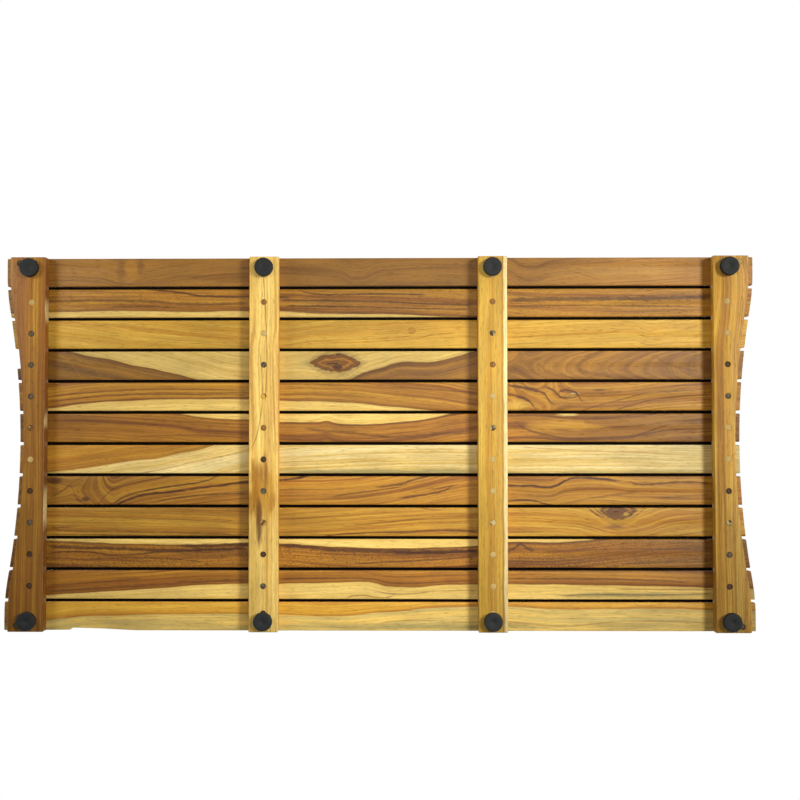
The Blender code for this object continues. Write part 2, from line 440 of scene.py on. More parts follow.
def drawn_line(tree, along, points):
    """A smooth line through points of (along, across) in mm; gives the across value there."""
    start = add(tree, "MapRange", {0: along, 1: -CURVE_REACH_MM, 2: CURVE_REACH_MM})
    curve = add(tree, "FloatCurve", {"Value": start})
    curve.mapping.extend = "HORIZONTAL"
    line = curve.mapping.curves[0]
    spots = [((x / CURVE_REACH_MM + 1) / 2, (v / CURVE_SWING_MM + 1) / 2) for x, v in points]
    line.points[0].location = spots[0]
    line.points[1].location = spots[-1]
    for spot in spots[1:-1]:
        line.points.new(*spot)
    curve.mapping.update()
    return add(tree, "MapRange", {0: curve, 3: -CURVE_SWING_MM, 4: CURVE_SWING_MM})


def mottle(tree, vector, size_mm, seed, detail=2.0, roughness=0.5):
    """Uneven patches whose size is given in mm each way."""
    stretched = add(tree, "Mapping", {"Vector": vector, "Scale": [1 / mm for mm in size_mm],
                                      "Location": (seed * 7.3, seed * 3.1, seed * 5.7)})
    return add(tree, "TexNoise", {"Vector": stretched, "Scale": 1.0, "Detail": detail,
                                  "Roughness": roughness})


# The tones that oiled teak runs through, from gum lines to new sapwood
TEAK_TONES = {
    "pitch": "24150d", "bark": "4a2614", "umber": "643a18", "cocoa": "7c4a1a", "walnut": "865a28",
    "chestnut": "925a1c", "tan": "a0702c", "cinnamon": "a87020", "ochre": "b88228",
    "sand": "c2944a", "honey": "c89530", "amber": "d2a63e", "gold": "dcb54e", "straw": "debb64",
    "butter": "edce7c", "cream": "f3e0a6", "khaki": "b8a568", "moss": "9c9260",
}

# Sizes of the patterns in teak, in mm along the grain, across it and through the thickness
WANDER_MM = (150, 34, 60)
KNOT_EDGE_MM = (12, 7, 9)
BROAD_BAND_MM = (480, 10, 90)
NARROW_BAND_MM = (240, 2.6, 40)
RING_SPREAD_MM = (260, 16, 80)
VEIN_MM = (330, 3.6, 60)
SAP_EDGE_MM = (34, 12, 20)
BLOTCH_MM = (36, 6, 12)
STREAK_BREAK_MM = (14, 3, 8)
CLOUD_MM = (70, 22, 30)
FIBRE_MM = (46, 1.3, 9)
PORE_MM = (11, 0.8, 0.8)  # a real pore is 0.3 mm wide, and is drawn coarser to show
LARGE_PORE_MM = (2.6, 1.7, 2)  # a real one is 0.4 mm wide, and is drawn coarser to show
RING_MM = 4.7  # real growth rings are 1 to 5 mm wide, and are drawn near the widest to show
ARCH_FADE_MM = 30  # an arch blends into the grain over this, before and after each of its ends
LEAN = 0.22  # the grain leans across the board by this much of its height


def tone_of(name):
    return linear(TEAK_TONES[name])


class BoardFrame:
    """A board's own frame in mm: along the grain, across it, and up from its lower face."""

    def __init__(self, tree, turned, centre, flow, seed):
        self.seed = seed
        quarter = math.pi / 2 if turned else 0
        offset = (0, (-centre.x if turned else -centre.y) / MM, -centre.z / MM)
        self.place = object_in_mm(tree, Rotation=(0, 0, quarter), Location=offset)
        self.along, self.across, self.up = add(tree, "SeparateXYZ", {0: self.place}).outputs

        # The grain runs beside the flow line, wanders, and leans through the thickness
        line = drawn_line(tree, self.along, flow)
        wander = mottle(tree, self.place, WANDER_MM, seed)
        self.wander = add(tree, "Math", {0: wander, 1: 0.5}, operation="SUBTRACT")
        self.leaning = add(tree, "Math", {0: self.up, 1: LEAN, 2: self.across},
                           operation="MULTIPLY_ADD")
        self.beside = add(tree, "Math", {0: self.leaning, 1: line}, operation="SUBTRACT")
        self.grain = add(tree, "Math", {0: self.wander, 1: 7, 2: self.beside},
                         operation="MULTIPLY_ADD")


def arch_the_grain(tree, board, arches):
    """Cathedral arches, where the saw met the rings at a low angle."""
    for x_from, x_to, v, curl, slope, lift in arches:
        start = add(tree, "MapRange", {0: board.along, 1: x_from - ARCH_FADE_MM,
                                       2: x_from + ARCH_FADE_MM}, **SMOOTH)
        stop = add(tree, "MapRange", {0: board.along, 1: x_to - ARCH_FADE_MM,
                                      2: x_to + ARCH_FADE_MM, 3: 1, 4: 0}, **SMOOTH)
        within = add(tree, "Math", {0: start, 1: stop}, operation="MULTIPLY")
        rise = add(tree, "Math", {0: board.across, 1: v}, operation="SUBTRACT")
        rise = add(tree, "Math", {0: rise, 1: rise}, operation="MULTIPLY")
        run = add(tree, "Math", {0: board.along, 1: slope, 2: lift - x_from * slope},
                  operation="MULTIPLY_ADD")
        bowed = add(tree, "Math", {0: rise, 1: curl, 2: run}, operation="MULTIPLY_ADD")
        bowed = add(tree, "Math", {0: board.wander, 1: 9, 2: bowed}, operation="MULTIPLY_ADD")
        board.grain = add(tree, "Mix", {0: within, 2: board.grain, 3: bowed})


def part_round_knots(tree, board, knots):
    """Bend the grain round each knot; gives each knot's distance field, a lens along the board."""
    fields = []
    rough_edge = mottle(tree, board.place, KNOT_EDGE_MM, board.seed + 11, 3, 0.6)
    for x, v, length, width, tone, strength in knots:
        run = add(tree, "Math", {0: board.along, 1: x}, operation="SUBTRACT")
        run = add(tree, "Math", {0: run, 1: length / 2}, operation="DIVIDE")
        off_centre = add(tree, "Math", {0: board.across, 1: v}, operation="SUBTRACT")
        rise = add(tree, "Math", {0: off_centre, 1: width / 2}, operation="DIVIDE")
        rise = add(tree, "Math", {0: rise}, operation="ABSOLUTE")
        distance = add(tree, "Math", {0: run, 1: run, 2: rise}, operation="MULTIPLY_ADD")
        distance = add(tree, "Math", {0: rough_edge, 1: 0.9, 2: distance}, operation="MULTIPLY_ADD")
        squeeze = add(tree, "MapRange", {0: distance, 1: 0.9, 2: 3.2, 3: -0.85, 4: 0}, **SMOOTH)
        bent = add(tree, "Math", {0: off_centre, 1: squeeze}, operation="MULTIPLY")
        board.grain = add(tree, "Math", {0: board.grain, 1: bent})
        fields.append((distance, tone, strength))
    return fields


def band_the_grain(tree, board):
    """Broad bands, narrow bands, and growth rings with one crisp edge each."""
    board.flowing = add(tree, "CombineXYZ", {0: board.along, 1: board.grain, 2: board.up})
    board.broad = mottle(tree, board.flowing, BROAD_BAND_MM, board.seed + 2, 3, 0.55)
    board.narrow = mottle(tree, board.flowing, NARROW_BAND_MM, board.seed + 3, 2, 0.6)
    spread = mottle(tree, board.flowing, RING_SPREAD_MM, board.seed + 4)
    ring = add(tree, "Math", {0: spread, 1: 16, 2: board.grain}, operation="MULTIPLY_ADD")
    ring = add(tree, "Math", {0: ring, 1: RING_MM}, operation="DIVIDE")
    ring = add(tree, "Math", {0: ring}, operation="FRACT")
    board.ring = add(tree, "MapRange", {0: ring, 1: 0.35, 2: 0.97})


def heartwood_colour(tree, board, tones, streak_tone, streaky, rings, dotted):
    """Bands of three tones, rings, dark veins, and on some boards rows of large dark pores."""
    dark, mid, light = tones
    tone = add(tree, "Math", {0: board.narrow, 1: 0.55, 2: board.broad}, operation="MULTIPLY_ADD")
    deep = add(tree, "MapRange", {0: tone, 1: 0.62, 2: 0.78})
    pale = add(tree, "MapRange", {0: tone, 1: 0.78, 2: 0.98})
    heart = add(tree, "Mix", {0: deep, 6: dark, 7: mid}, **COLOURS)
    heart = add(tree, "Mix", {0: pale, 6: heart, 7: light}, **COLOURS)
    ring = add(tree, "Math", {0: board.ring, 1: rings}, operation="MULTIPLY")
    heart = add(tree, "Mix", {0: ring, 6: heart, 7: dark}, **COLOURS)
    veins = mottle(tree, board.flowing, VEIN_MM, board.seed + 5, 2, 0.55)
    vein = add(tree, "MapRange", {0: veins, 1: 0.55, 2: 0.66, 4: streaky}, **SMOOTH)
    heart = add(tree, "Mix", {0: vein, 6: heart, 7: streak_tone}, **COLOURS)
    if dotted:
        dots = mottle(tree, board.place, LARGE_PORE_MM, board.seed + 6, 1)
        rows = add(tree, "Math", {0: board.narrow, 1: 0.5, 2: dots}, operation="MULTIPLY_ADD")
        dot = add(tree, "MapRange", {0: rows, 1: 0.80, 2: 0.96, 4: dotted})
        heart = add(tree, "Mix", {0: dot, 6: heart, 7: streak_tone}, **COLOURS)
    return heart


def with_sapwood(tree, board, heart, heart_mid, sapwood, streak_tone, side):
    """Sapwood with faint lines, behind a crisp edge with a dark rim on the heartwood side."""
    wobble = mottle(tree, board.place, SAP_EDGE_MM, board.seed + 7)
    wobble = add(tree, "Math", {0: wobble, 1: 0.5}, operation="SUBTRACT")
    past = add(tree, "Math", {0: wobble, 1: 2.6, 2: board.beside}, operation="MULTIPLY_ADD")
    past = add(tree, "Math", {0: past, 1: side}, operation="MULTIPLY")
    lines = add(tree, "Math", {0: board.broad, 1: board.narrow})
    pale = add(tree, "MapRange", {0: lines, 1: 0.80, 2: 1.16})
    sap = add(tree, "Mix", {0: pale, 6: tone_of(sapwood[0]), 7: tone_of(sapwood[1])}, **COLOURS)
    faint = add(tree, "Math", {0: board.ring, 1: 0.15}, operation="MULTIPLY")
    sap = add(tree, "Mix", {0: faint, 6: sap, 7: heart_mid}, **COLOURS)
    rim = add(tree, "MapRange", {0: past, 1: -4.2, 2: -0.6, 4: 0.55}, **SMOOTH)
    heart = add(tree, "Mix", {0: rim, 6: heart, 7: streak_tone}, **COLOURS)
    is_sap = add(tree, "MapRange", {0: past, 1: -0.9, 2: 0.9}, **SMOOTH)
    return add(tree, "Mix", {0: is_sap, 6: heart, 7: sap}, **COLOURS)


def with_stains(tree, board, wood, stains):
    """Soft patches, longer than they are wide, with ragged edges along the grain."""
    blotches = mottle(tree, board.place, BLOTCH_MM, board.seed + 15, 3, 0.6)
    for x, v, length, width, tone, strength in stains:
        spot = add(tree, "Mapping", {"Vector": board.place, "Scale": (2 / length, 2 / width, 0),
                                     "Location": (-x * 2 / length, -v * 2 / width, 0)})
        distance = add(tree, "VectorMath", {0: spot}, operation="LENGTH").outputs["Value"]
        distance = add(tree, "Math", {0: blotches, 1: 1.6, 2: distance}, operation="MULTIPLY_ADD")
        patch = add(tree, "MapRange", {0: distance, 1: 1.1, 2: 2.0, 3: strength, 4: 0}, **SMOOTH)
        wood = add(tree, "Mix", {0: patch, 6: wood, 7: tone_of(tone)}, **COLOURS)
    return wood


def with_streaks(tree, board, wood, streaks):
    """Mineral streaks that follow lines of their own, broken up along their length."""
    broken = mottle(tree, board.place, STREAK_BREAK_MM, board.seed + 13, 3, 0.65)
    for tone, width, strength, *points in streaks:
        track = drawn_line(tree, board.along, points)
        gap = add(tree, "Math", {0: board.leaning, 1: track}, operation="SUBTRACT")
        gap = add(tree, "Math", {0: board.wander, 1: 2.0, 2: gap}, operation="MULTIPLY_ADD")
        gap = add(tree, "Math", {0: gap}, operation="ABSOLUTE")
        ragged = add(tree, "Math", {0: broken, 1: width * -1.6, 2: gap}, operation="MULTIPLY_ADD")
        body = add(tree, "MapRange", {0: ragged, 1: width * -0.65, 2: width * 0.15,
                                      3: strength, 4: 0}, **SMOOTH)
        x_from, x_to = points[0][0], points[-1][0]
        fade_in = add(tree, "MapRange", {0: board.along, 1: x_from - 8, 2: x_from + 6}, **SMOOTH)
        fade_out = add(tree, "MapRange", {0: board.along, 1: x_to - 6, 2: x_to + 8, 3: 1, 4: 0},
                       **SMOOTH)
        body = add(tree, "Math", {0: body, 1: fade_in}, operation="MULTIPLY")
        body = add(tree, "Math", {0: body, 1: fade_out}, operation="MULTIPLY")
        wood = add(tree, "Mix", {0: body, 6: wood, 7: tone}, **COLOURS)
    return wood


def with_knots(tree, wood, fields, halo_tone):
    """Knots: uneven rings round a dark eye, a dark outline, and a stained halo."""
    for distance, tone, strength in fields:
        waves = add(tree, "Math", {0: distance, 1: 15}, operation="MULTIPLY")
        waves = add(tree, "Math", {0: waves}, operation="SINE")
        strands = add(tree, "MapRange", {0: waves, 1: -1, 2: 1, 3: 0.25, 4: 1})
        knot = add(tree, "Mix", {0: strands, 6: tone_of("bark"), 7: tone_of(tone)}, **COLOURS)
        eye = add(tree, "MapRange", {0: distance, 1: 0.42, 2: 0.66, 3: 0.85, 4: 0})
        knot = add(tree, "Mix", {0: eye, 6: knot, 7: tone_of("pitch")}, **COLOURS)
        outline = add(tree, "MapRange", {0: distance, 1: 1.15, 2: 1.42, 4: 0.85}, **SMOOTH)
        knot = add(tree, "Mix", {0: outline, 6: knot, 7: tone_of("bark")}, **COLOURS)
        inside = add(tree, "MapRange", {0: distance, 1: 1.40, 2: 1.56, 3: strength, 4: 0}, **SMOOTH)
        halo = add(tree, "MapRange", {0: distance, 1: 1.4, 2: 2.3, 3: 0.4 * strength, 4: 0},
                   **SMOOTH)
        wood = add(tree, "Mix", {0: halo, 6: wood, 7: halo_tone}, **COLOURS)
        wood = add(tree, "Mix", {0: inside, 6: wood, 7: knot}, **COLOURS)
    return wood


def fine_shade(tree, board, pore, turned):
    """How much lighter or darker clouds, pores, fibres and end grain make the wood."""
    clouds = mottle(tree, board.place, CLOUD_MM, board.seed + 17, 2)
    cloud = add(tree, "MapRange", {0: clouds, 1: 0.3, 2: 0.7, 3: 0.88, 4: 1.10})
    pore_shade = add(tree, "Math", {0: pore, 1: -0.36, 2: 1.0}, operation="MULTIPLY_ADD")
    fibres = mottle(tree, board.flowing, FIBRE_MM, board.seed + 21, 3, 0.7)
    fibre_shade = add(tree, "MapRange", {0: fibres, 1: 0.32, 2: 0.68, 3: 0.84, 4: 1.14})
    # End grain drinks more oil and looks darker
    facing = add(tree, "SeparateXYZ", {0: add(tree, "NewGeometry", {}).outputs["Normal"]})
    square_on = add(tree, "Math", {0: facing.outputs[1 if turned else 0]}, operation="ABSOLUTE")
    end_grain = add(tree, "MapRange", {0: square_on, 1: 0.6, 2: 0.95, 3: 1.0, 4: 0.72})
    total = cloud
    for change in (pore_shade, fibre_shade, end_grain):
        total = add(tree, "Math", {0: total, 1: change}, operation="MULTIPLY")
    return total


def teak(name, turned, centre, heartwood, flow, sapwood=("straw", "butter"), streak="umber",
         sap_side=0, arches=(), streaks=(), knots=(), stains=(), pale_streaks=(),
         tone_and_painted_light_along=((-500, 0), (500, 0)), seed=1, streaky=0.5, rings=0.3, dotted=0.0):
    """Oiled teak, planed and sanded: satin, with open pores that catch the light as fine dashes.

    flow is the line that the grain follows; where the board has sapwood, it lies on sap_side of
    that line. The tone along gives how much lighter the board is at places along it, in per cent:
    partly its own tone, and partly painted light and shade where the light falls off over the
    mat, mostly darker towards the mat's ends and, on the battens, towards the rear.
    """
    material, tree, shader = new_material(name)
    tones = [tone_of(tone) for tone in heartwood]
    streak_tone = tone_of(streak)
    board = BoardFrame(tree, turned, centre, flow, seed)
    arch_the_grain(tree, board, arches)
    knot_fields = part_round_knots(tree, board, knots)
    band_the_grain(tree, board)

    wood = heartwood_colour(tree, board, tones, streak_tone, streaky, rings, dotted)
    if sap_side:
        wood = with_sapwood(tree, board, wood, tones[1], sapwood, streak_tone, sap_side)
    # Lighter or darker along the board: partly its own tone, partly painted light and shade where the light
    # falls off over the mat
    per_cent = drawn_line(tree, board.along, tone_and_painted_light_along)
    change = add(tree, "Math", {0: per_cent, 1: 0.01, 2: 1}, operation="MULTIPLY_ADD")
    wood = add(tree, "VectorMath", {0: wood, "Scale": change}, operation="SCALE")
    wood = with_stains(tree, board, wood, stains)
    toned_streaks = [(streak_tone, *streak) for streak in streaks]
    toned_streaks += [(tones[2], *streak) for streak in pale_streaks]
    wood = with_streaks(tree, board, wood, toned_streaks)
    wood = with_knots(tree, wood, knot_fields, streak_tone)

    pores = mottle(tree, board.place, PORE_MM, seed + 19, 1)
    pore = add(tree, "MapRange", {0: pores, 1: 0.60, 2: 0.72})
    wood = add(tree, "VectorMath", {0: wood, "Scale": fine_shade(tree, board, pore, turned)},
               operation="SCALE")
    dress(tree, shader, wood, add(tree, "MapRange", {0: pore, 3: 0.50, 4: 0.72}))
    shader.inputs["IOR"].default_value = 1.5
    relief = add(tree, "Math", {0: pore, 1: -1.0, 2: board.narrow}, operation="MULTIPLY_ADD")
    emboss(tree, shader, relief, 0.35, 0.25 * MM)
    return material


def plug_wood(name, tone, other, contrast, seed, grain_and_shade_size_mm=1.2):
    """Teak dowel, cross-cut and pared: dull, in two tones; on some plugs they are painted light and shade.
    """
    material, tree, shader = new_material(name)
    fibres = mottle(tree, object_in_mm(tree), (grain_and_shade_size_mm, 6, 6), seed, 2)
    second = add(tree, "MapRange", {0: fibres, 1: 0.5 - contrast, 2: 0.5 + contrast})
    colour = add(tree, "Mix", {0: second, 6: linear(tone), 7: linear(other)}, **COLOURS)
    dress(tree, shader, colour, add(tree, "MapRange", {0: fibres, 1: 0.3, 2: 0.7, 3: 0.6, 4: 0.8}))
    emboss(tree, shader, fibres, 0.4, 0.2 * MM)
    return material


def moulded_rubber():
    """Natural rubber with carbon black: matt, with a dusty bloom; its slight blue is a painted skylight
    reflection.
    """
    material, tree, shader = new_material("moulded_black_rubber")
    place = object_in_mm(tree)
    bloom = mottle(tree, place, (5, 5, 5), 3, 4, 0.6)
    dust = add(tree, "MapRange", {0: bloom, 1: 0.4, 2: 0.7})
    colour = add(tree, "Mix", {0: dust, 6: linear("141820"), 7: linear("1f2530")}, **COLOURS)
    dress(tree, shader, colour, add(tree, "MapRange", {0: bloom, 1: 0.3, 2: 0.7, 3: 0.62, 4: 0.8}))
    shader.inputs["IOR"].default_value = 1.52
    grit = mottle(tree, place, (0.5, 0.5, 0.5), 5, 1)
    emboss(tree, shader, grit, 0.3, 0.1 * MM)
    return material


def turned_steel():
    """Plain stainless steel, turned: bright, with fine rings round its axis."""
    material, tree, shader = new_material("turned_stainless_steel")
    rings = mottle(tree, object_in_mm(tree), (4, 4, 0.3), 9, 2)
    tint = add(tree, "Mix", {0: rings, 6: linear("9a9c9e"), 7: linear("b4b5b6")}, **COLOURS)
    dress(tree, shader, tint, add(tree, "MapRange", {0: rings, 1: 0.3, 2: 0.7, 3: 0.25, 4: 0.42}))
    shader.inputs["Metallic"].default_value = 1.0
    return material


# Each board: its heartwood (dark, mid, light), sapwood (mid, light) and streaks, then its figure.
# Lines are (along, across) in mm from the board's middle; across is towards the rear on a slat and
# towards the right on a batten. A streak is its width in mm, its strength and its line. A knot or
# a stain is its place, length and width in mm, its tone and its strength. An arch is where it
# starts and ends along the board and its axis across it, in mm, then its curl, slope and lift.
BOARDS = {
    "slat_01": dict(
        heartwood=("walnut", "tan", "tan"), streak="walnut",
        seed=1, streaky=0.1, rings=0.04,
        flow=[(-500, -2), (-380, 2), (-345, 9), (-325, 9), (-270, 0), (-180, -8), (-100, -6),
              (-50, 0), (-28, 9), (0, 0), (60, -4), (130, -4), (175, 0), (205, 12), (230, 6),
              (300, 0), (440, -8), (500, -10)],
        tone_and_painted_light_along=[(-500, 12), (-240, 4), (-40, -14), (110, -12), (300, 34), (500, 84)],
        streaks=[(2.4, 0.55, (-352, -19), (-345, -12), (-341, 3), (-343, 19)),
                 (1.6, 0.4, (-330, 12), (-270, 0), (-200, -8)),
                 (2.2, 0.6, (-62, -2), (-48, 0), (-36, 8), (-28, 10), (-16, 4), (0, 0)),
                 (1.6, 0.5, (172, 2), (185, 9), (197, 19)), (1.8, 0.35, (204, -16), (211, 0), (214, 12)),
                 (1.4, 0.35, (236, -14), (262, 0), (300, 12))],
        stains=[(-333, -4, 20, 40, "ochre", 0.6), (-348, -2, 14, 36, "umber", 0.45),
                (-322, -8, 12, 22, "umber", 0.5), (-205, 8, 130, 14, "umber", 0.45),
                (330, 0, 210, 20, "sand", 0.5)]),
    "slat_02": dict(
        heartwood=("chestnut", "ochre", "honey"), streak="bark",
        sap_side=1, tone_and_painted_light_along=[(-500, -14), (-300, 4), (-60, -16), (100, -10), (250, 4), (500, 16)],
        seed=2, streaky=0.35, rings=0.25, dotted=0.35,
        flow=[(-500, 13), (-440, 11.5), (-350, 10), (-250, 11.5), (-180, 10.5), (-130, 11), (-75, 14),
              (0, 15), (60, 17), (125, 20), (200, 27), (500, 30)],
        streaks=[(2.2, 0.85, (-306, -18), (-270, -15), (-240, -10), (-210, -9), (-120, -8)),
                 (3.0, 0.6, (-470, -2), (-360, -4), (-300, -2), (-260, 1), (-180, 0)),
                 (2.0, 0.6, (-360, 5), (-330, 4), (-280, 6)),
                 (1.8, 0.8, (-104, -18), (-82, -12), (-60, -11), (0, -12), (60, -11)),
                 (2.2, 0.75, (-130, -4), (-60, -3), (0, -2), (60, 1), (125, 3)),
                 (1.8, 0.7, (-120, 4), (-50, 5), (30, 7), (120, 9)),
                 (5.0, 0.75, (178, -3), (260, -5), (350, -5), (440, -7)),
                 (2.0, 0.5, (180, 5), (300, 4), (440, 7))],
        stains=[(-300, 4, 300, 15, "chestnut", 0.75), (-20, 6, 200, 12, "chestnut", 0.6)]),
    "slat_03": dict(
        heartwood=("honey", "amber", "gold"), streak="cinnamon",
        seed=3, streaky=0.25, rings=0.3,
        tone_and_painted_light_along=[(-500, -12), (-350, 6), (-180, -14), (30, 0), (500, 12)],
        flow=[(-500, -20), (-440, -14), (-300, 2), (-180, 12), (-140, 14), (-80, 8), (0, 5), (98, 0),
              (180, 1), (300, -5), (345, -6), (362, 0), (390, -3), (500, -4)],
        knots=[(45, -5, 12, 8, "cinnamon", 0.35)],
        streaks=[(5.0, 0.35, (-350, -12), (-250, 0), (-180, 11)),
                 (1.5, 0.8, (48, 6), (60, 4), (76, 0), (98, -1)),
                 (1.2, 0.5, (180, 5), (300, -1), (345, -2), (360, 4), (390, 0)),
                 (1.6, 0.4, (-130, 17), (-80, 9), (0, 5), (40, 3))]),
    "slat_04": dict(
        heartwood=("walnut", "tan", "ochre"), streak="umber",
        sap_side=-1, seed=4, streaky=0.3, rings=0.4, arches=[(186, 470, 2, 0.02, -0.2, 34)],
        flow=[(-500, -30), (-415, -19), (-390, -13), (-360, -8), (-330, -1), (-300, 5), (-270, 12),
              (-240, 20), (-150, 34), (-60, 26), (-40, 19), (-18, 9), (8, 2), (22, -3), (35, -5),
              (60, -4), (80, -6), (100, -11), (135, -20), (200, -34), (500, -38)],
        tone_and_painted_light_along=[(-500, -50), (-300, -18), (-60, -18), (200, 0), (330, 8), (500, -4)],
        knots=[(-58, -3, 68, 25, "cinnamon", 1.0), (-55, 2, 13, 8, "umber", 1.0)],
        streaks=[(5.0, 0.45, (-44, 19), (-20, 12), (10, 4), (30, -1), (60, 0), (100, -6), (135, -16)),
                 (5.0, 0.4, (220, 3), (228, 10), (255, 16), (300, 19)),
                 (5.0, 0.35, (220, 2), (230, -8), (246, -14), (262, -19)),
                 (5.5, 0.5, (267, 2), (280, 10), (315, 15), (370, 18)),
                 (5.0, 0.45, (267, 1), (276, -8), (290, -14), (304, -19)),
                 (1.4, 0.5, (372, -16), (380, -5), (392, 0), (430, 9))],
        pale_streaks=[(1.4, 0.5, (362, -12), (374, -6), (378, -16)), (1.2, 0.5, (384, -18), (387, -8)),
                      (0.8, 0.7, (-436, -16), (-420, -8), (-408, 6), (-398, 19)),
                      (0.8, 0.6, (-412, -15), (-402, -6), (-398, 2)),
                      (0.8, 0.6, (-392, -4), (-382, 4), (-376, 17))],
        stains=[(-100, -2, 30, 14, "khaki", 0.6), (-50, 3, 30, 10, "chestnut", 0.5)]),
    "slat_05": dict(
        heartwood=("chestnut", "ochre", "honey"), streak="umber",
        sap_side=1, seed=5, streaky=0.45, rings=0.45, arches=[(176, 236, 22, 0.0136, 0.2, -45)],
        flow=[(-500, 20), (-440, 15), (-400, 10), (-350, 6), (-300, 4), (-250, 3.5), (-180, 3.5),
              (-130, 5.5), (-80, 6.5), (-30, 9), (0, 12), (40, 15.5), (85, 20), (130, 28), (200, 36),
              (300, 38), (380, 30), (440, 26), (500, 24)],
        knots=[(257, -1, 18, 6, "gold", 0.5)],
        streaks=[(3.4, 1.0, (172, -3), (190, 1), (202, 7), (211, 18)),
                 (3.2, 1.0, (172, -15), (196, -11), (214, -7), (225, -2), (227, 4), (233, 10)),
                 (2.6, 1.0, (224, -13), (238, -6), (248, 2), (257, 2)),
                 (3.2, 1.0, (242, -3), (250, -8), (262, -6), (269, 0), (272, 7)),
                 (2.4, 0.8, (290, -8), (303, -8)),
                 (1.8, 0.6, (276, 18), (327, 4), (363, -4), (430, -9)),
                 (1.6, 0.75, (320, 18), (347, 10), (377, 3), (440, -2)),
                 (1.5, 0.6, (20, -13), (80, -9), (130, -5)),
                 (1.8, 0.6, (-440, 7), (-380, 0), (-320, -3), (-180, -2)),
                 (1.5, 0.6, (-440, -1), (-380, -6), (-300, -10), (-180, -8))],
        stains=[(184, 12, 44, 16, "gold", 0.7), (262, -4, 16, 3, "cream", 0.7)]),
    "slat_06": dict(
        heartwood=("cocoa", "cinnamon", "ochre"), streak="umber",
        sap_side=-1, seed=6, streaky=0.3, rings=0.3,
        flow=[(-500, -30), (-275, -20), (-240, -14.5), (-200, -12), (-170, -11), (-130, -8),
              (-80, -8), (-70, -10), (-60, -7), (-40, -5), (-10, -5), (30, -8), (60, -11),
              (108, -20), (200, -27), (260, -23), (330, -25), (400, -34), (500, -38)],
        tone_and_painted_light_along=[(-500, -20), (0, 14), (120, 14), (260, -12), (500, -34)],
        streaks=[(3.0, 0.6, (-95, 1), (-82, 3), (-40, 6), (-10, 10), (30, 12), (60, 10), (120, 5)),
                 (2.2, 0.75, (186, -12), (198, 2), (230, 10), (262, 15), (330, 14), (352, 8), (388, -4)),
                 (1.8, 0.6, (200, -19), (206, -12), (196, -2)), (2.0, 0.5, (408, 6), (440, 0)),
                 (1.6, 0.45, (-440, -17), (-350, -14), (-260, -8), (-180, -4)),
                 (1.8, 0.5, (-330, 12), (-250, 10), (-180, 14))],
        stains=[(248, -3, 110, 16, "honey", 0.75), (360, -8, 120, 16, "tan", 0.6),
                (252, -18, 34, 5, "butter", 0.9)]),
    "slat_07": dict(
        heartwood=("cinnamon", "ochre", "honey"), sapwood=("straw", "cream"), streak="tan",
        sap_side=1, tone_and_painted_light_along=[(-500, 6), (-200, 0), (0, -8), (250, -10), (500, -22)],
        seed=7, streaky=0.15, rings=0.25,
        flow=[(-500, 26), (-440, 17), (-410, 14), (-370, 8), (-330, 2), (-300, -1), (-270, -7),
              (-240, -13), (-215, -20), (-150, -32), (500, -38)],
        streaks=[(1.6, 0.45, (-320, 19), (-280, 11), (-240, 2), (-200, -6), (-170, -12)),
                 (1.3, 0.35, (200, -16), (260, -12), (360, -8), (440, -4))],
        stains=[(20, 17, 360, 9, "moss", 0.85), (330, 17, 280, 6, "khaki", 0.7)]),
    "slat_08": dict(
        heartwood=("chestnut", "ochre", "honey"), streak="bark",
        seed=8, streaky=0.3, rings=0.35,
        flow=[(-500, 34), (-440, 36), (-370, 38), (-340, 30), (-300, 22), (-240, 13), (-180, 8),
              (-130, 6), (-60, 4), (0, -3), (60, -14), (100, -22), (130, -25), (175, -24), (225, -22),
              (250, -29), (300, -31), (340, -27), (500, -26)],
        arches=[(-480, -385, 0, 0.09, 0.3, 0)],
        tone_and_painted_light_along=[(-500, -22), (-300, -14), (40, 14), (260, -4), (500, 0)],
        streaks=[(2.0, 0.85, (-356, 19), (-340, 8), (-310, 0), (-275, -6), (-240, -11), (-218, -19)),
                 (2.6, 0.95, (-352, 20), (-335, 12), (-310, 5), (-280, 2), (-250, -2), (-215, -6),
                  (-180, -11), (-130, -14), (-95, -20)),
                 (1.5, 0.7, (-302, 17), (-270, 10), (-230, 6), (-180, 4)),
                 (1.6, 0.6, (-376, 19), (-365, 5), (-350, -6)),
                 (2.2, 0.7, (-440, 8), (-425, 0), (-415, -8)),
                 (2.0, 0.7, (-412, -12), (-395, 4), (-398, 14)),
                 (1.6, 0.6, (-60, 8), (-30, 3), (0, -1), (30, -5)),
                 (2.6, 0.8, (0, -5), (30, -9), (45, -14), (70, -20)),
                 (2.2, 0.8, (30, 10), (65, 5), (85, 1), (97, -6)), (1.6, 0.7, (76, -2), (102, -7)),
                 (2.6, 0.95, (172, -6), (205, -6), (225, -4), (240, -7), (250, -13), (270, -17),
                  (300, -15), (318, -13)),
                 (2.2, 0.8, (338, -12), (355, -8), (375, -9), (400, -11), (440, -10)),
                 (2.0, 0.85, (172, 14), (200, 13), (220, 17), (236, 20)),
                 (2.4, 0.4, (255, 16), (300, 8), (345, 2)), (2.4, 0.4, (375, 10), (440, 6))],
        stains=[(-436, -13, 26, 12, "bark", 0.8), (-394, 11, 12, 8, "bark", 0.8)]),
    "slat_09": dict(
        heartwood=("cinnamon", "honey", "amber"), streak="umber",
        seed=9, streaky=0.3, rings=0.4,
        flow=[(-500, 0), (-340, 0), (-180, 5), (-130, 5), (-60, 2), (0, -2), (60, -6), (130, -8),
              (180, -9), (250, -6), (290, 2), (322, 8), (350, 5), (390, -6), (440, -12), (500, -16)],
        tone_and_painted_light_along=[(-500, -20), (-200, -14), (40, 4), (500, -6)],
        knots=[(320, -15, 48, 24, "tan", 1.0), (318, -14, 26, 12, "cocoa", 0.8),
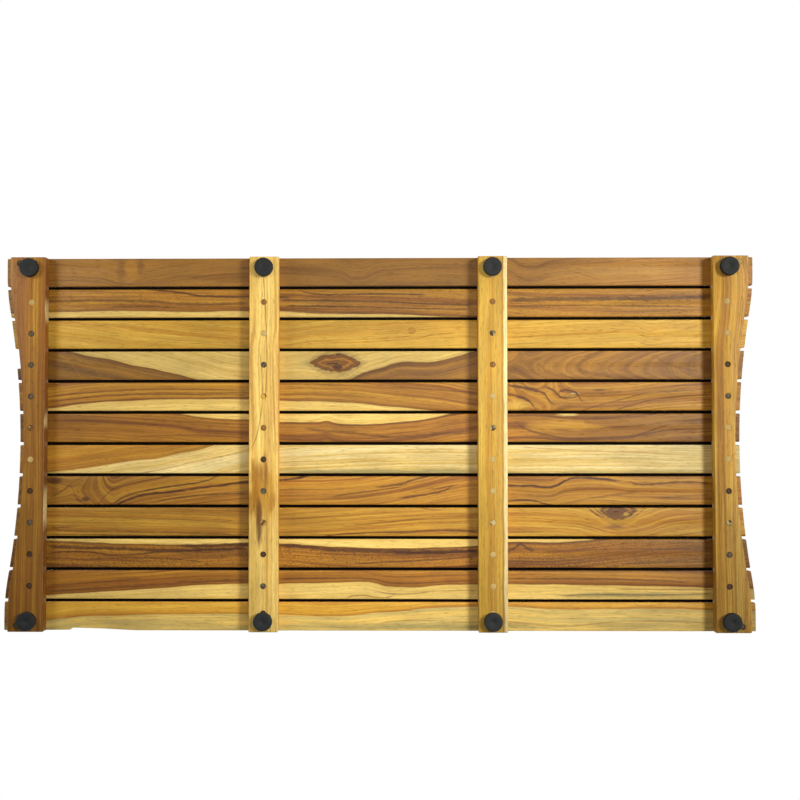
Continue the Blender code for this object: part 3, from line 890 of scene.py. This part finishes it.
               (331, -11, 9, 6, "gold", 0.9)],
        streaks=[(1.6, 0.7, (-430, 12), (-380, 13), (-300, 14), (-200, 16)),
                 (1.4, 0.7, (-440, 8), (-412, 7)), (1.5, 0.6, (-440, 17), (-300, 18), (-180, 17)),
                 (2.0, 0.85, (-70, 18), (-10, 14), (30, 13), (100, 11), (132, 14)),
                 (1.4, 0.5, (-30, 4), (20, -1), (60, -4)), (1.4, 0.6, (60, -18), (80, -16)),
                 (1.6, 0.6, (172, 14), (215, 13)), (1.6, 0.6, (398, 18), (440, 12)),
                 (2.0, 0.85, (280, -19), (290, -11), (299, -6)),
                 (1.6, 0.8, (288, -19), (296, -12), (303, -8)),
                 (1.6, 0.7, (341, -6), (348, -11), (356, -18))],
        stains=[(316, 6, 34, 9, "walnut", 0.9)]),
    "slat_10": dict(
        heartwood=("cocoa", "cinnamon", "ochre"), streak="bark",
        sap_side=-1, seed=10, streaky=0.4, rings=0.35, dotted=0.7,
        flow=[(-500, -19), (-440, -17), (-380, -14), (-300, -12), (-250, -11.5), (-180, -14),
              (-130, -13), (-80, -10), (-30, -8), (30, -7), (80, -8), (130, -10), (175, -15),
              (240, -15), (290, -19), (330, -24), (400, -30), (500, -34)],
        tone_and_painted_light_along=[(-500, -20), (-300, 0), (60, 20), (260, 0), (500, -42)],
        streaks=[(3.4, 0.8, (-440, -8), (-360, -6), (-260, -4), (-180, -7)),
                 (2.4, 0.8, (20, -2), (80, -1), (132, -4)),
                 (4.5, 0.85, (-262, -10), (-220, -10), (-170, -11), (-120, -10), (-60, -5), (0, -3),
                  (60, -2), (130, -3)),
                 (1.8, 0.8, (-440, 0), (-400, -2), (-350, 3), (-300, -1), (-180, -6)),
                 (1.6, 0.6, (-380, 7), (-300, 7), (-240, 11)),
                 (1.8, 0.7, (-30, 13), (0, 12), (60, 9), (125, 5)),
                 (3.4, 0.8, (172, -4), (184, -8), (190, -13), (196, -8), (206, -5)),
                 (1.6, 0.6, (330, 14), (440, 10)), (1.8, 0.4, (230, -2), (330, -6), (440, -4))],
        stains=[(-230, 0, 150, 18, "umber", 0.5), (330, -2, 220, 26, "chestnut", 0.4)]),
    "slat_11": dict(
        heartwood=("chestnut", "cinnamon", "ochre"), streak="umber",
        sap_side=1, seed=11, streaky=0.35, rings=0.4,
        flow=[(-500, 17), (-440, 14), (-380, 10), (-300, 5), (-260, 2), (-230, 0), (-180, -1),
              (-130, -1.5), (-60, -3), (-20, -4), (-5, -2), (20, 3), (50, 3), (90, 0), (130, -1),
              (300, 0), (440, 3), (500, 4)],
        tone_and_painted_light_along=[(-500, -30), (-300, 6), (0, 8), (260, 6), (500, -34)],
        streaks=[(3.0, 0.7, (-440, 9), (-380, 5), (-300, 0), (-240, -4), (-180, -6)),
                 (1.8, 0.5, (-440, 1), (-380, -3), (-320, -8)),
                 (1.8, 0.7, (-130, -8), (-40, -9), (-10, -8), (20, -3), (50, -3), (125, -6)),
                 (1.4, 0.5, (-10, -16), (20, -11), (60, -12), (125, -14)),
                 (1.3, 0.55, (0, 9), (30, 12), (80, 8), (130, 7)),
                 (1.8, 0.75, (174, -9), (240, -8), (320, -8), (410, -4)),
                 (1.2, 0.7, (250, 14), (300, 12), (350, 13), (440, 11)),
                 (1.1, 0.6, (320, 5), (440, 6)), (1.3, 0.6, (-40, 17), (-20, 14), (0, 17), (20, 13))],
        stains=[(330, 13, 230, 8, "moss", 0.8)]),
    "slat_12": dict(
        heartwood=("ochre", "honey", "amber"), sapwood=("khaki", "straw"), streak="chestnut",
        sap_side=1, seed=12, streaky=0.15, rings=0.25,
        flow=[(-500, 9), (-440, 6), (-400, 1), (-350, -1), (-250, -3), (-130, -2), (-60, 0),
              (-30, -2), (0, -5), (30, -7), (60, -10.5), (90, -12.5), (175, -13.5), (240, -10),
              (300, -10), (380, -11), (440, -9), (500, -8)],
        tone_and_painted_light_along=[(-500, -26), (-300, 16), (0, 30), (260, 30), (500, -26)],
        streaks=[(1.4, 0.4, (0, 11), (40, 5), (100, 7), (180, 8), (250, 12), (300, 8), (360, 5), (440, 8))],
        stains=[(-320, 10, 200, 13, "khaki", 0.7), (90, 13, 330, 9, "moss", 0.8),
                (350, 12, 170, 10, "khaki", 0.75), (-425, 10, 40, 20, "khaki", 0.6),
                (-60, 12, 160, 8, "khaki", 0.6)]),
    # The battens run darker towards the rear: painted shade where the light falls off, in their tone along
    "batten_left_end": dict(
        heartwood=("chestnut", "cinnamon", "honey"), streak="cocoa",
        seed=21, streaky=0.15, rings=0.3,
        flow=[(-500, -2), (0, 1), (500, -1)],
        tone_and_painted_light_along=[(-250, -36), (-120, -30), (0, -24), (120, 2), (250, 14)],
        stains=[(-12, 4, 24, 40, "chestnut", 0.5), (178, 24, 40, 2.2, "cream", 0.7),
                (30, 24, 22, 2, "cream", 0.6), (-80, 24, 60, 2.2, "cream", 0.7)]),
    "batten_left_middle": dict(
        heartwood=("sand", "straw", "butter"), streak="walnut",
        seed=22, streaky=0.25, rings=0.25,
        flow=[(-500, 0), (0, 2), (120, -2), (160, 2), (250, 0)],
        tone_and_painted_light_along=[(-250, 2), (-120, 6), (-20, 24), (30, 28), (250, 28)],
        streaks=[(1.2, 0.7, (60, 2), (110, 4), (160, 3), (225, -1)),
                 (1.2, 0.6, (-5, -16), (30, -5), (60, -2), (120, -5))],
        stains=[(-68, 0, 88, 56, "honey", 0.95), (-40, -8, 46, 24, "cinnamon", 0.85),
                (-76, -10, 46, 20, "cinnamon", 0.85), (-78, 12, 30, 14, "ochre", 0.8),
                (-104, -5, 66, 10, "umber", 0.9), (-40, 3, 60, 6, "chestnut", 0.7)]),
    # The cream strip along its right edge is partly sapwood and partly a painted highlight on the eased
    # edge, so this sapwood is drawn wide and pale
    "batten_right_middle": dict(
        heartwood=("ochre", "amber", "gold"), sapwood=("cream", "cream"), streak="cinnamon",
        sap_side=1, seed=23, streaky=0.15, rings=0.25, flow=[(-500, 15.5), (0, 14.5), (500, 15)],
        tone_and_painted_light_along=[(-250, -20), (-60, -8), (0, 0), (250, 6)]),
    "batten_right_end": dict(
        heartwood=("tan", "honey", "gold"), streak="walnut",
        seed=24, streaky=0.3, rings=0.4,
        flow=[(-500, -3), (-100, 0), (60, -2), (120, -3), (180, 2), (215, 4), (250, 0), (500, 0)],
        tone_and_painted_light_along=[(-250, -26), (-120, -18), (0, 4), (120, 18), (250, 24)],
        streaks=[(1.6, 0.6, (-20, 16), (60, 14), (110, 8), (150, 12), (190, 16)),
                 (1.6, 0.5, (-120, -18), (-60, -14), (0, -15), (60, -17))]),
}


# ---------------------------------------------------------------- assembly

def wear(piece, material):
    """One material for the whole piece."""
    piece.data.materials.clear()
    piece.data.materials.append(material)


def settle(piece, material, slot, *nodes):
    """Finish a piece: its material, its body and the nodes it stands for. The slot is not used."""
    wear(piece, material)
    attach(piece, "root")
    if nodes:
        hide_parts(*nodes)


def board_material(name, turned):
    low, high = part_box(name)
    middle = (low + high) / 2
    return teak(name + "_teak", turned, Vector((middle.x, middle.y, low.z)), **BOARDS[name])


screw_holes = screw_hole_tool()
stem_holes = stem_hole_tool()

for slat in SLATS:
    board = make_slat(slat, (screw_holes,))
    settle(board, board_material(slat, False), "slat_teak", slat)

for batten in BATTENS:
    node = f"batten_{batten}"
    board = make_batten(batten, (screw_holes, stem_holes))
    settle(board, board_material(node, True), "batten_teak", node)

bpy.data.objects.remove(screw_holes)
bpy.data.objects.remove(stem_holes)

# Feet: one is modelled at its place, and the others are copies of it
rubber = moulded_rubber()
first_low, first_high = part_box(FEET[0])
first_centre = (first_low + first_high) / 2
first_foot = make_first_foot(first_centre, first_high.z)
for node in FEET[1:]:
    low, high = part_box(node)
    shift = (low + high) / 2 - first_centre
    settle(copy_to(first_foot, node + "_moulding", shift), rubber, "foot_rubber", node)
first_foot.name = FEET[0] + "_moulding"
settle(first_foot, rubber, "foot_rubber", FEET[0])

# Plugs, one letter for each slat from front to rear, and each kind's wood and how deep it sits:
# p pale, b brown, d dark, y yellow with painted shade over part of its face, g grey,
# h half pale and half dark: a painted lit half and a painted shaded half
PLUG_ROWS = {"left_end": "gpgggypdgddg", "left_middle": "pbpgybdgydgd",
             "right_middle": "pbhbphpphppp", "right_end": "pppdgppdhgdg"}
PLUG_KINDS = {
    "p": (plug_wood("pale_teak_plug", "b99c5c", "cdb57c", 0.12, 31), 0.15 * MM),
    "b": (plug_wood("brown_teak_plug", "9c7038", "7c5227", 0.12, 32), 0.15 * MM),
    "d": (plug_wood("dark_teak_plug", "3a2718", "54392a", 0.10, 33), 1.4 * MM),
    "y": (plug_wood("yellow_plug_painted_shade", "cfa850", "6e4a28", 0.06, 34, 5), 0.8 * MM),
    "h": (plug_wood("plug_painted_light_and_shade", "c4b07a", "4a3826", 0.06, 36, 6), 0.5 * MM),
    "g": (plug_wood("grey_teak_plug", "3d3630", "6e6454", 0.08, 35), 1.0 * MM),
}
first_plug = make_first_plug()
for batten, row in PLUG_ROWS.items():
    for slat, letter in zip(SLATS, row):
        spot = SPOTS[slat, batten]
        material, depth = PLUG_KINDS[letter]
        name = f"plug_{slat}_{batten}"
        plug = copy_to(first_plug, name, (spot.x, spot.y, BATTEN_BOTTOM + depth))
        settle(plug, material, "plug_teak")
bpy.data.objects.remove(first_plug)

# Screws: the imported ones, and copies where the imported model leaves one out. A copy drops the
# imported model's marks and parent, and its loose triangles are merged.
steel = turned_steel()
for node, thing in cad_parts.items():
    if node.startswith("screw_"):
        wear(thing, steel)
for (slat, batten), spot in SPOTS.items():
    node = f"screw_{slat}_{batten}"
    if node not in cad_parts:
        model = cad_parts[f"screw_{slat}_{MIRRORED[batten]}"]
        screw = copy_to(model, node, (2 * spot.x, 0, 0))
        for key in list(screw.keys()):
            del screw[key]
        screw.parent = None
        bpy.ops.object.mode_set(mode="EDIT")
        bpy.ops.mesh.select_all(action="SELECT")
        bpy.ops.mesh.remove_doubles(threshold=SAME_PLACE)
        bpy.ops.object.mode_set(mode="OBJECT")
        settle(screw, steel, "screw_steel")


# ---------------------------------------------------------------- stage, light and camera

WARM_WHITE = linear("fff9e6")
FLOOR_SIZE = 80
FLOOR_DROP = 0.05 * MM
CARD_LIFT = 4 * MM
CARD_OVERLAP = 20 * MM


def one_sided(name, colour, from_below):
    """A plain surface that shows from one side only, above or below."""
    material, tree, shader = new_material(name)
    shader.inputs["Base Color"].default_value = colour
    shader.inputs["Roughness"].default_value = 0.9
    shader.inputs["Specular IOR Level"].default_value = 0.1
    back = add(tree, "NewGeometry", {}).outputs["Backfacing"]
    clear = add(tree, "BsdfTransparent", {})
    front_face, back_face = (clear, shader) if from_below else (shader, clear)
    mix = add(tree, "MixShader", {0: back, 1: front_face, 2: back_face})
    tree.links.new(mix.outputs[0], tree.nodes["Material Output"].inputs["Surface"])
    return material


def add_sheet(name, size, place, material):
    """A flat sheet of the stage: the camera sees it, and it gives the mat no light or shadow."""
    deselect_everything()
    bpy.ops.mesh.primitive_plane_add(size=1, location=place)
    bpy.context.active_object.scale = (*size, 1)
    sheet = newly_added(name)
    sheet.data.materials.append(material)
    for ray in ("diffuse", "glossy", "transmission", "volume_scatter", "shadow"):
        setattr(sheet, "visible_" + ray, False)
    return sheet


def add_lamp(name, kind, place, target, watts):
    """A lamp that points at its target and isn't seen itself."""
    lamp = bpy.data.lights.new(name, kind)
    lamp.energy = watts
    lamp.color = WARM_WHITE[:3]
    light = bpy.data.objects.new(name, lamp)
    light.visible_camera = False
    light.location = place
    aim = Vector(target) - Vector(place)
    light.rotation_euler = aim.to_track_quat("-Z", "Y").to_euler()
    bpy.context.scene.collection.objects.link(light)
    return lamp


def add_softbox(name, place, size, watts, target=(0, 0, 0)):
    lamp = add_lamp(name, "AREA", place, target, watts)
    lamp.shape = "RECTANGLE"
    lamp.size, lamp.size_y = size


def add_spot(name, place, target, watts, cone, radius):
    lamp = add_lamp(name, "SPOT", place, target, watts)
    lamp.spot_size = math.radians(cone)
    lamp.spot_blend = 1.0
    lamp.shadow_soft_size = radius


add_sheet("floor", (FLOOR_SIZE, FLOOR_SIZE), (0, 0, -FLOOR_DROP),
          one_sided("pale_floor", linear("e9e7e3"), False))

# A dark card lies in each gap between two slats, up to the end battens: painted shade, seen from
# below where the gap is in shadow. It also keeps the light above the deck off the walls of the gap.
card_length = 2 * (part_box("batten_right_end")[0].x + CARD_OVERLAP)
painted_shade_card = one_sided("painted_shade_card", linear("050403"), True)
for slat, next_slat in zip(SLATS, SLATS[1:]):
    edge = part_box(slat)[1].y
    next_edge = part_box(next_slat)[0].y
    place = (0, (edge + next_edge) / 2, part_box(slat)[0].z + CARD_LIFT)
    card = add_sheet("painted_shade_behind_" + slat, (card_length, next_edge - edge), place, painted_shade_card)
    card.visible_shadow = True

add_softbox("below_left", (-0.95, -0.36, -0.56), (0.30, 0.30), 3.0, (-0.5, -0.06, 0))
add_spot("below_right", (1.85, -0.60, -1.90), (0.15, 0.0, 0), 368, 27, 0.42)
add_softbox("below_middle", (0.02, -0.14, -0.70), (0.5, 0.4), 1.6, (0.02, -0.04, 0))
add_softbox("above_left", (-1.8, -0.1, 1.9), (1.2, 1.2), 28.0)
add_softbox("above_right", (1.5, 0.1, 2.1), (1.2, 1.2), 12.0)

# The camera sees white; the mat is lit by a warm sky that is brighter above the horizon
world = bpy.data.worlds.new("studio")
world.use_nodes = True
bpy.context.scene.world = world
sky = world.node_tree
for old in list(sky.nodes):
    sky.nodes.remove(old)
seen = add(sky, "Background", {"Color": linear("ffffff"), "Strength": 1.0})
heading = add(sky, "SeparateXYZ", {0: add(sky, "TexCoord", {}).outputs["Generated"]})
level = add(sky, "MapRange", {0: heading.outputs[2], 1: -0.1, 2: 0.1, 3: 0.14, 4: 0.72})
ambient = add(sky, "Background", {"Color": WARM_WHITE, "Strength": level})
camera_ray = add(sky, "LightPath", {}).outputs["Is Camera Ray"]
both = add(sky, "MixShader", {0: camera_ray, 1: ambient, 2: seen})
add(sky, "OutputWorld", {"Surface": both})

# The camera looks straight up at the underside
scene = bpy.context.scene
scene.view_settings.view_transform = "Standard"
camera = bpy.data.objects.new("camera", bpy.data.cameras.new("camera"))
scene.collection.objects.link(camera)
scene.camera = camera
camera.data.lens = 55.87
camera.data.sensor_width = 36
camera.data.clip_end = 50
camera.location = (0.0527, -0.0056, -1.642)
camera.rotation_euler = [math.radians(turn) for turn in (-178.187, -0.816, 0.023)]
